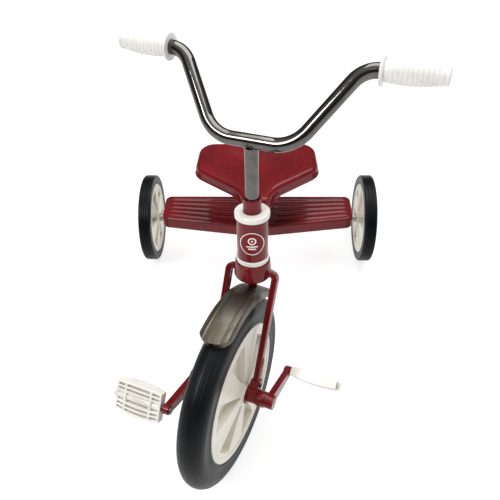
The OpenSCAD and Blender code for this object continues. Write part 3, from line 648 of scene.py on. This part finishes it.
def disc_side(radius, width, hub, stand, bore, pockets=6, across=10):
    """One side of a wheel: radii by columns round the axis. The face runs from the hub's end down to a
    cone and out to the rim, and a pocket's share falls from 1 to 0 within a wall 1 mm wide; the columns
    follow each pocket's edges."""
    ring, web, wall, rounding = radius * 0.08, width / 5, 1.0, 1.2
    edge, outer, stop = radius - ring, radius - 2 * ring, radius - 2 * ring - 0.2
    face, foot, foot_h = width / 2 - 1.5, hub + 3.4, stand - 3.4

    def cone(r):
        """The height at a radius, on a straight line from the hub's foot to the face's edge."""
        return foot_h + (face - foot_h) * (r - foot) / (edge - foot)

    span = np.linspace(foot + wall, stop, 22)[1:-1]
    knots = [
        (bore, stand - 1), (bore + 1, stand), (hub - 1, stand), (hub, stand - 1), (hub + 0.6, stand - 2.6),
        (foot, foot_h), (foot + wall, stand - 3.7),
        *((r, cone(r)) for r in [*span, stop, stop + wall, edge - rounding, edge]),
        (edge + 0.8, face + 1.0), (edge + 2, width / 2), (radius - rounding, width / 2),
        (radius, width / 2 - rounding),
    ]
    rows, high = np.array(knots).T
    radial = np.clip(np.minimum((rows - foot) / wall, (stop + wall - rows) / wall), 0, 1)
    step = np.pi / pockets
    narrow, wide = 2.5, outer * np.tan(0.45 * step)
    half = np.maximum(narrow + (wide - narrow) * (rows - hub - 4) / (outer - hub - 4), narrow)
    turn, strip = half / rows, wall / rows
    u = np.linspace(0, 1, across + 1)
    inside, cut = turn[:, None] * u, turn[:, None] + strip[:, None] * u[1:4] / u[3]
    land = turn[:, None] + strip[:, None] + (step - turn - strip)[:, None] * u[1:]
    angle = np.concatenate([inside, cut, land], axis=1)
    share = np.concatenate([np.ones(across + 1), 1 - u[1:4] / u[3], np.zeros(across)])
    angle = np.concatenate([-angle[:, :0:-1], angle], axis=1)
    share = np.concatenate([share[:0:-1], share])
    repeats = [angle[:, :-1] + 2 * step * k for k in range(pockets)]
    angle = np.concatenate([*repeats, angle[:, :1] + 2 * np.pi], axis=1)
    share = np.append(np.tile(share[:-1], pockets), share[0])
    soft = radial[:, None] * share
    soft = soft * soft * (3 - 2 * soft)
    height = high[:, None] - soft * (high[:, None] - web)
    return np.stack([rows[:, None] * np.cos(angle), rows[:, None] * np.sin(angle), height], axis=-1)


def wheel(name, node, place, body, radius, width, hub, stands, bore):
    """Both sides of a wheel disc, its bore and the seat of its tyre."""
    near, far = (disc_side(radius, width, hub, stand, bore) for stand in stands)
    far = far[:, ::-1] * [1, -1, -1]
    closing = lathe([(bore, 1 - stands[1]), (bore, stands[0] - 1)], 48)
    edge = near[-1][0, 2]
    rim = lathe([(radius, edge), (radius, -edge)], 96)
    return piece(name, [near, far, closing, rim], place, body, cream, [node], 30)


front_rim_w, front_hub_r, front_hub_half, crank_axle_r = 40, 17, 26, 6
wheel(
    "front_disc", "front_rim", hub_place @ side_turn, "drive", front_rim_r, front_rim_w, front_hub_r,
    (front_hub_half, front_hub_half), crank_axle_r,
)
rear_rim_w, rear_hub_r, axle_r = 24, 12, 5
for word, side in (("left", 1), ("right", -1)):
    wheel(
        "rear_disc_" + word, "rear_rim_" + word,
        move(side * wheel_x, axle_y, rear_r) @ spin(side * np.pi / 2, Y), "rear_wheel_" + word,
        rear_rim_r, rear_rim_w, rear_hub_r, (rear_hub_out, rear_hub_in), axle_r + fit,
    )


# ---- Steerer tube, crown and fork ----
# The red steerer tube passes through both bearings into a pressed crown cup. Two grooved steel
# legs bend down from the cup's sides, and a bearing block is screwed on the foot of each one.
keep(enamel, "steerer_tube")
eased("fork_crown", "crown_cup", "steering", enamel, 0.8)
eased("fender_stay", "fender_post", "steering", enamel, 0.4)
eased("hub_block_left", "block_left", "steering", enamel, 1.2)
eased("hub_block_right", "block_right", "steering", enamel, 1.2)
eased("hub_block_bolts", "block_screws", "steering", chrome, 0.6)
eased("stem_bolt", "collar_screw", "steering", zinc, 0.5)


def carried(path, section, across):
    """A flat section carried along a path: path + first number x across + second number x (along x across),
    where along is the path's direction."""
    along = unit(np.gradient(path, axis=0))
    across = unit(across - (along * across).sum(1, keepdims=True) * along)
    third = np.cross(along, across)
    first, second = section[..., 0, None], section[..., 1, None]
    return path[:, None] + first * across[:, None] + second * third[:, None]


def capped(grid):
    """The grid with its first and last rows closed to a point at their middle."""
    first, last = (np.broadcast_to(row[:-1].mean(0), row.shape)[None] for row in (grid[0], grid[-1]))
    return np.concatenate([first, grid, last])


crown_h, leg_x, leg_w, leg_d, leg_root, block_top = 29, 36.5, 9, 15, 29, 28
crown_foot = head_rise - bearing_h - gap - crown_h
leg_rise = crown_foot + leg_w
leg_run = np.array([leg_rise * np.sin(rake) + fork_offset, leg_rise * np.cos(rake)])
leg_l, leg_tilt = np.linalg.norm(leg_run), np.arctan2(*leg_run)
leg_place = hub_place @ spin(-leg_tilt, X)
bend_r = leg_x - leg_root
corners = np.array([(-1, -1), (1, -1), (1, 1), (-1, 1)]) * [leg_w / 2, leg_d / 2]
section = evened(softened(corners, 3, 8, True), 96)
# Grooves run down the outer side and the front: depth x exp(-(distance / half width) to the fourth).
groove_t = 1.5
near = np.exp(-((section[:, 1] / 1.6) ** 4)) * (section[:, 0] > leg_w / 2 - groove_t)
front = np.exp(-((section[:, 0] / 1.3) ** 4)) * (section[:, 1] < groove_t - leg_d / 2)
section = section - groove_t * np.stack([near, -front], axis=-1)
turn = np.linspace(0, np.pi / 2, 14)
path = np.concatenate(
    [
        [(leg_root - 3, leg_l), (leg_root - 1, leg_l)],
        np.stack([leg_root + bend_r * np.sin(turn), leg_l - bend_r * (1 - np.cos(turn))], axis=-1),
        np.stack([np.full(12, leg_x), np.linspace(leg_l - bend_r - 2, block_top - 2, 12)], axis=-1),
    ]
)
path = np.insert(path, 1, 0, axis=1)
out = np.gradient(path, axis=0) @ np.array([[0, 0, -1], [0, 1, 0], [1, 0, 0]])
leg = carried(path, section, out)
for word, side in (("left", 1), ("right", -1)):
    piece(
        "leg_" + word, [capped(leg * [side, 1, 1])], leg_place, "steering", enamel, ["fork_leg_" + word], 50
    )


# ---- Mudguard ----
# A strip of sheet steel is rolled over the front wheel, with turned-down sides and a bead along
# each edge, and its front corners are cut round. Its chrome plate has gone dull and brown.
def dull_paint(point):
    """Worn chrome: brushed streaks along the strip, brown clouds, rust specks and a few bright rubs."""
    x, y, z = point.parts()
    unrolled_r = 165.0
    swing = y.math("ARCTAN2", z) * unrolled_r
    flat = point.node("CombineXYZ", {}, X=x / 1000.0, Y=swing / 1000.0)
    streak = flat.grain(3.0, 5, 0.6, (1, 0.05, 1))
    cloud = flat.grain(24, 4, 0.6, (1, 0.4, 1)).between(0.36, 0.66)
    speck = point.grain(1.4, 2).between(0.70, 0.76) * point.grain(16).between(0.42, 0.6)
    scrape = flat.grain(2.2, 2, 0.4, (0.1, 1, 1)).between(0.72, 0.8)
    tone = (cloud * 0.75 + streak * 0.25).mixed(rgb(0.165, 0.151, 0.127), rgb(0.085, 0.072, 0.050))
    tone = (scrape * 0.4).mixed(tone, rgb(0.65, 0.64, 0.60))
    return {
        "Base Color": (speck * 0.7).mixed(tone, rgb(0.10, 0.045, 0.02)),
        "Roughness": 0.32 + streak * 0.14 + cloud * 0.06 + speck * 0.2,
        "Metallic": 1.0 - speck * 0.6,
        "Normal": (streak * 0.4 + flat.grain(18, 2)).bump(0.12),
    }


dull_chrome = coating("satin_chrome", "satin_chrome", dull_paint, "own")
guard_r, guard_half, guard_t, guard_corner = front_r + 12, 24, 1.2, 22
guard_front, guard_tail, crown, ridge_at = -13, 56, 3.2, 14.4
fold_w, fold_drop, lip = 3.4, 6.5, 2.0
across = np.linspace(-1, 1, 81) * guard_half
camber = -crown * (across / guard_half) ** 2
fold = -fold_drop * np.clip((np.abs(across) - guard_half + fold_w) / fold_w, 0, 1) ** 2
ridge = 0.7 * np.exp(-(((np.abs(across) - ridge_at) / 1.1) ** 2))
top = guard_r + guard_t + 0.3 + camber + fold + ridge
top = np.concatenate([top[:1] - lip, top, top[-1:] - lip])
across = np.concatenate([across[:1], across, across[-1:]])
tip = np.linspace(guard_front, guard_front + 6, 22)
swing = np.radians(np.concatenate([tip, np.linspace(guard_front + 7, guard_tail, 80)]))
# At the front the sides run in on an arc of the corner's radius, and the strip's edge turns down along it.
ahead = guard_r * (swing - swing[0])
short = np.clip(guard_corner - ahead, 0, None)
limit = guard_half - guard_corner + np.sqrt(np.clip(guard_corner**2 - short**2, 0, None))
width = np.clip(across[None], -limit[:, None], limit[:, None])
drop = np.clip(np.abs(across)[None] - limit[:, None], 0, 4.5) * (limit < guard_half - 0.2)[:, None]
skin = []
for depth, share in ((0, 1.0), (guard_t, 0.965)):
    height = np.maximum(top[None] - drop, top.min()) - depth
    arc = [height * np.sin(swing)[:, None], height * np.cos(swing)[:, None]]
    skin.append(np.stack([width * share, *arc], axis=-1))
loop = np.concatenate([skin[0], skin[1][:, ::-1], skin[0][:, :1]], axis=1)
half = len(across)
tips = [np.concatenate([r[:half], r[:half][::-1], r[:1]])[None] for r in (loop[0], loop[-1])]
piece(
    "mudguard_strip", [np.concatenate([tips[0], loop, tips[1]])], hub_place, "steering", dull_chrome,
    ["front_fender"], 40,
)


# ---- Cranks and pedals ----
# The front axle is one steel piece with a stepped boss and a flat arm on each side. A chromed pin is
# riveted in each arm's eye, and a barrel-shaped slotted pedal turns on it under a white cap.
eased("crank_axle", "cranks", "drive", enamel, 1.3)
eased("hub_discs", "hub_washers", "drive", enamel, 0.5)
eased("pedal_pins", "pins", "drive", chrome, 0.8)
eased("pedal_caps", "pin_caps", "drive", white_plastic, 0.8)
crank_l, crank_angle, block_w, arm_out, arm_t, shoulder_l = 90, np.radians(112), 14, 14, 9, 3
pedal_l, pedal_w, pedal_t, sag, pin_bore = 75, 51, 20, 3, 4.08
pedal_in = leg_x + block_w / 2 + gap + arm_out + arm_t + shoulder_l + gap


def slat(offset, width):
    """A slat that runs along the pin, bowed outwards with the pedal: its distance from the pin is offset x
    (1 - 0.12 t squared) and its height falls by the sag each way on t squared, where t runs from -1 to 1
    along the pedal."""
    x = np.linspace(0.2, pedal_l - 0.2, 24)
    t = 2 * x / pedal_l - 1
    side, tall = offset * (1 - 0.12 * t**2), pedal_t / 2 - sag * t**2
    section = softened([(-1, -1), (1, -1), (1, 1), (-1, 1)], [0.35] * 4, 5, True)
    out = side[:, None] + width / 2 * section[:, 0]
    return capped(np.stack([x[:, None] + 0 * out, tall[:, None] * section[:, 1], out], axis=-1))


def rib(middle, width, reach):
    """A rib across the pedal, as high as the slats there."""
    t = 2 * middle / pedal_l - 1
    tall, far = pedal_t / 2 - sag * t**2 - 0.15, reach * (1 - 0.12 * t**2)
    z = np.linspace(-far, far, 12)
    section = softened([(-1, -1), (1, -1), (1, 1), (-1, 1)], [0.3] * 4, 5, True)
    flat, along = section * [width / 2, tall], z[:, None]
    x, y = middle + flat[:, 0] + 0 * along, flat[:, 1] + 0 * along
    return capped(np.stack([x, y, along + 0 * x], axis=-1))


lanes = (((pedal_w - 3.8) / 2, 3.8), (16.2, 3.0), (9.4, 3.0))
slats = [slat(side * off, wide) for side in (-1, 1) for off, wide in lanes]
ends = ((1.9, 3.6), (16.5, 4.0), (pedal_l - 16.5, 4.0), (pedal_l - 1.9, 3.6))
ribs_across = [rib(middle, wide, pedal_w / 2 - 1) for middle, wide in ends]
barrel = softened([(pin_bore, 0.1), (7, 0.1), (7, pedal_l - 0.1), (pin_bore, pedal_l - 0.1)], 0.5, 4, True)
sleeve = lathe(barrel, 40) @ spin(np.pi / 2, Y)[:3, :3].T
for word, side, tilt in (("left", 1, 150), ("right", -1, 35)):
    pin = crank_l * side * np.array([0, np.sin(crank_angle), np.cos(crank_angle)])
    place = hub_place @ move(*pin) @ spin(-np.radians(tilt), X)
    grids = [(grid + [pedal_in, 0, 0]) * [side, 1, 1] for grid in [*slats, *ribs_across, sleeve]]
    piece("pedal_body_" + word, grids, place, "pedal_" + word, white_plastic, ["pedal_" + word], 40)


# ---- Handlebar, stem and grips ----
# A bright chromed tube, bent twice on each side, is welded across the top of the stem. White vinyl
# grips with soft rings and a thin flange are pushed on its ends.
def bent(moves, step=2.5):
    """A flat path from the origin along x. A move (length, 0) is a straight; (radius, angle) is an arc, whose
    points are centre + radius (cos, sin) of the angle turned so far."""
    point, heading, path = np.zeros(2), 0.0, []
    for size, angle in moves:
        ahead = np.array([np.cos(heading), np.sin(heading)])
        if angle:
            side = np.sign(angle) * np.array([-ahead[1], ahead[0]])
            count = max(8, int(size * abs(angle) / step))
            t = np.linspace(0, 1, count, endpoint=False)[:, None] * abs(angle)
            path.append(point + size * (np.sin(t) * ahead + (1 - np.cos(t)) * side))
            point = point + size * (np.sin(abs(angle)) * ahead + (1 - np.cos(angle)) * side)
            heading += angle
        else:
            t = np.linspace(0, size, max(2, int(size / step)), endpoint=False)[:, None]
            path.append(point + t * ahead)
            point = point + size * ahead
    return np.concatenate([*path, point[None]])


bar_rise, bar_lean, bar_r, stem_r = 364, np.radians(41), 9.3, 9.2
bar_place = (
    move(*column_foot) @ spin(front_turn, column) @ move(*(bar_rise * column)) @ spin(np.pi / 2 - bar_lean, X)
)
bar_slope, hand_slope, hand_l = np.radians(58), np.radians(2), 73
bends = [(27, 0), (48, bar_slope), (74, 0), (35, hand_slope - bar_slope)]
half = bent([*bends, (hand_l, 0)])
path = np.insert(np.concatenate([half[:0:-1] * [-1, 1], half]), 2, 0, axis=1)
piece(
    "handlebar_tube", [capped(carried(path, circle(bar_r, 44), np.tile(Z, (len(path), 1))))], bar_place,
    "steering", chrome, ["handlebar"],
)
stem_foot, stem_top = 215, bar_rise - bar_r + 1.5
piece(
    "stem_tube", [capped(lathe([(stem_r, 0), (stem_r, 40), (stem_r, stem_top - stem_foot)], 56))],
    at_column(stem_foot, True), "steering", chrome, ["handlebar_stem"],
)
around = np.linspace(0, 2 * np.pi, 72, endpoint=False)
out, back = stem_r * np.cos(around), stem_r * np.sin(around)
joined = np.stack([out, back, -np.sqrt(bar_r**2 - (0.98 * back) ** 2)], axis=-1)
piece("stem_weld", [bead(joined, joined * [1, 1, 0], 1.3)], at_column(bar_rise, True), "steering", chrome)

grip_r, flange_r, flange_t, ring_gap = 15, 17.5, 3.5, 5.4


def vinyl_paint(point):
    """White vinyl: grey grime and painted shade in the valleys between the rings, by a cosine along the grip.
    """
    _, _, z = point.parts()
    # Painted shade: the grey is darkest in the valleys between the rings, standing for both grime and the
    # shade that falls there.
    valley_grime_and_shade = (z * (2 * np.pi / ring_gap)).math("COSINE") * 0.3 + 0.3
    grime = point.grain(9, 5, 0.7).between(0.42, 0.75) * valley_grime_and_shade
    cloud = point.grain(26).between(0.3, 0.7)
    white = cloud.mixed(rgb(0.79, 0.78, 0.755), rgb(0.72, 0.706, 0.67))
    return {
        "Base Color": (grime * 0.35).mixed(white, rgb(0.34, 0.31, 0.26)),
        "Roughness": 0.38 + grime * 0.2,
        "Normal": (point.grain(0.9, 2) * 0.12 + point.grain(8, 2)).bump(0.15),
    }


vinyl = coating("grip_vinyl", "grip_vinyl", vinyl_paint, "own", Coat_Weight=0.08)
length = hand_l + 3
z = np.linspace(flange_t + 0.6, length - 4.5, 170)
# The barrel is fattest at 0.45 of its length, and its rings are a sine along it.
barrel = grip_r * (1 - (z / length - 0.45) ** 2) - 0.55 + 0.5 * np.sin(2 * np.pi * z / ring_gap - np.pi / 2)
end_r = barrel[-1] + 0.2
profile = np.concatenate(
    [
        [(bar_r + 0.1, 0), (flange_r - 1, 0), (flange_r - 0.3, 0.35), (flange_r, 1.1)],
        [(flange_r, flange_t - 1.2), (flange_r - 0.5, flange_t - 0.3), (flange_r - 1.4, flange_t)],
        [(barrel[0] + 1.2, flange_t), (barrel[0] + 0.3, flange_t + 0.2)],
        np.stack([barrel, z], axis=-1),
        [(end_r + 0.5, length - 3.8), (end_r + 0.7, length - 2.6), (end_r + 0.4, length - 1.2)],
        [(end_r - 0.8, length - 0.2), (end_r - 2.2, length), (4, length - 0.3), (0, length - 0.3)],
    ]
)
start = bent(bends)[-1]
for word, side in (("left", 1), ("right", -1)):
    aim = move(*start, 0) @ spin(hand_slope, Z) @ move(1, 0, 0) @ spin(np.pi / 2, Y)
    grid = put(lathe(profile, 72), aim) * [side, 1, 1]
    hand = move(side * start[0], start[1], 0) @ spin(side * hand_slope, Z) @ spin(side * np.pi / 2, Y)
    piece(
        "grip_cover_" + word, [put(grid, np.linalg.inv(hand))], bar_place @ hand, "steering", vinyl,
        ["grip_" + word],
    )


# ---- Studio ----
# A plain pale floor glows a little under three soft panels of light. The room is pale where it is seen,
# but the chrome mirrors a darker one, dim round the horizon and bright overhead.
world = bpy.data.worlds.new("room")
bpy.context.scene.world = world
world.use_nodes = True
sky = Wire(world.node_tree)
toward = sky.node("TexCoord", {}, 0)
height = sky.node("SeparateXYZ", {}, 2, Vector=toward)
room = {"stops": [(0.0, 0.9), (0.5, 0.22), (0.60, 0.06), (0.78, 0.16), (1.0, 0.9)]}
tone = sky.node("ValToRGB", room, Fac=height * 0.5 + 0.5)
seen = sky.node("LightPath").mixed(tone, rgb(0.90, 0.90, 0.90))
world.node_tree.links.new(seen.output, world.node_tree.nodes["Background"].inputs["Color"])
world.node_tree.nodes["Background"].inputs["Strength"].default_value = 1.0


def matrix(right, up, back, where):
    """Blender's matrix from three axes and a point."""
    place = np.eye(4)
    place[:3, 0], place[:3, 1], place[:3, 2], place[:3, 3] = right, up, back, where
    return Matrix(place.tolist())


def panel(name, where, aim, size, power):
    """A square soft light at a point in metres, turned to look at another."""
    light = bpy.data.lights.new(name, "AREA")
    light.shape, light.size, light.energy = "SQUARE", size, power
    lamp = bpy.data.objects.new(name, light)
    bpy.context.collection.objects.link(lamp)
    back = unit(np.array(where, float) - aim)
    right = unit(np.cross([0, 0, 1], back) + [1e-6, 0, 0])
    lamp.matrix_world = matrix(right, np.cross(back, right), back, where)


middle = np.array([0, 0, 0.25])
panel("key_panel", (-1.3, -1.2, 2.2), middle, 0.7, 34)
panel("top_panel", (0.4, 0.9, 2.8), middle, 2.4, 62)
panel("fill_panel", (1.9, -1.0, 1.4), middle, 0.9, 9)

floor = bpy.data.meshes.new("floor")
far = 60
floor.from_pydata([(-far, -far, 0), (far, -far, 0), (far, far, 0), (-far, far, 0)], [], [(0, 1, 2, 3)])


def pale_paint(point):
    """An even grey, clouded a little."""
    return {"Base Color": point.grain(900).mixed(rgb(0.34, 0.34, 0.34), rgb(0.36, 0.36, 0.36))}


floor_paint = coating(
    "floor_paint", None, pale_paint, Roughness=0.8, Emission_Color=rgb(1, 1, 1), Emission_Strength=0.76
)
floor_paint[0].cycles.emission_sampling = "NONE"
floor.materials.append(floor_paint[0])
floor_object = bpy.data.objects.new("floor", floor)
bpy.context.collection.objects.link(floor_object)

# The camera stands in front of the tricycle, a little to the rider's left, and looks down at 45 degrees.
azimuth, elevation, roll, distance = np.radians(3.4), np.radians(44.7), np.radians(-2.0), 0.7452
target = np.array([-0.014, column_foot[1] / 1000, 0.3492])
back = np.array(
    [np.sin(azimuth) * np.cos(elevation), -np.cos(azimuth) * np.cos(elevation), np.sin(elevation)]
)
level = np.array([np.cos(azimuth), np.sin(azimuth), 0])
upright = np.cross(back, level)
right, up = np.cos(roll) * level + np.sin(roll) * upright, np.cos(roll) * upright - np.sin(roll) * level
lens = bpy.data.cameras.new("camera")
lens.sensor_width, lens.lens = 36, 38.43
lens.shift_x, lens.shift_y = 0.0156, 0.0218
camera = bpy.data.objects.new("camera", lens)
bpy.context.collection.objects.link(camera)
camera.matrix_world = matrix(right, up, back, target + distance * back)
bpy.context.scene.camera = camera
bpy.context.scene.view_settings.view_transform = "Standard"
